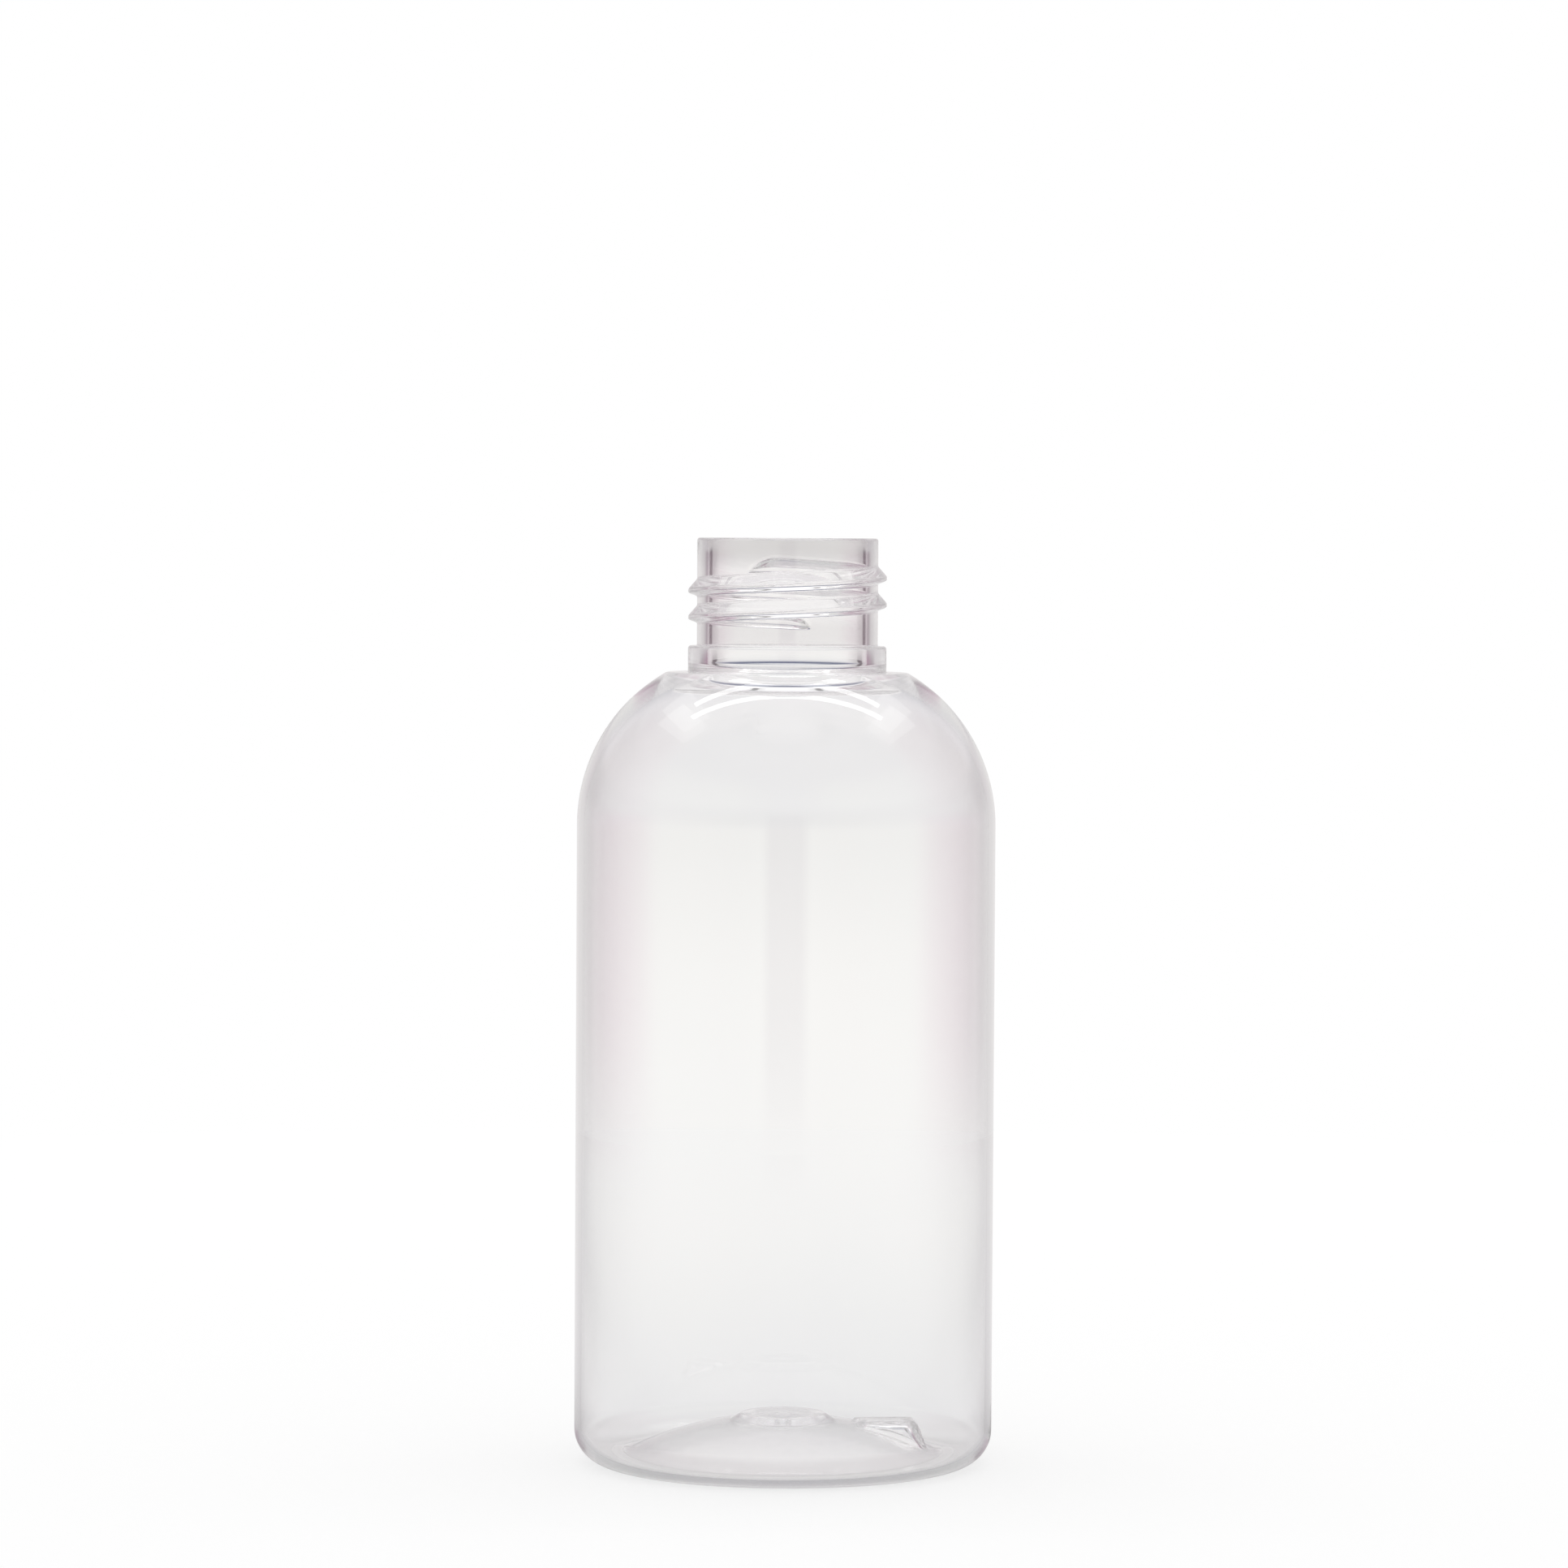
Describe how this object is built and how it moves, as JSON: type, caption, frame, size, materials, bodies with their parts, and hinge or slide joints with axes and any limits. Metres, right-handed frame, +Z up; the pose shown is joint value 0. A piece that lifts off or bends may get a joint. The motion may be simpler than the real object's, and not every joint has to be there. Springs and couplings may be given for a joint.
{
  "type": "boston round bottle",
  "caption": "Clear blown bottle with a round body, domed shoulder, right-hand threaded neck over a plain bead, and a push-up base with a positioning notch.",
  "frame": {"origin": "middle of the standing ring, on the surface that the bottle stands on", "axes": "+Z up the bottle's axis, out through the mouth; +X to the right in the picture's view, 5 degrees from the notch in the base; +Y away from the camera"},
  "size_m": [0.05, 0.05, 0.1107],
  "materials": {
    "clear_pet": "clear, glossy, blown in a polished mould"
  },
  "bodies": {
    "root": {"bottle": "clear_pet"}
  },
  "joints": []
}
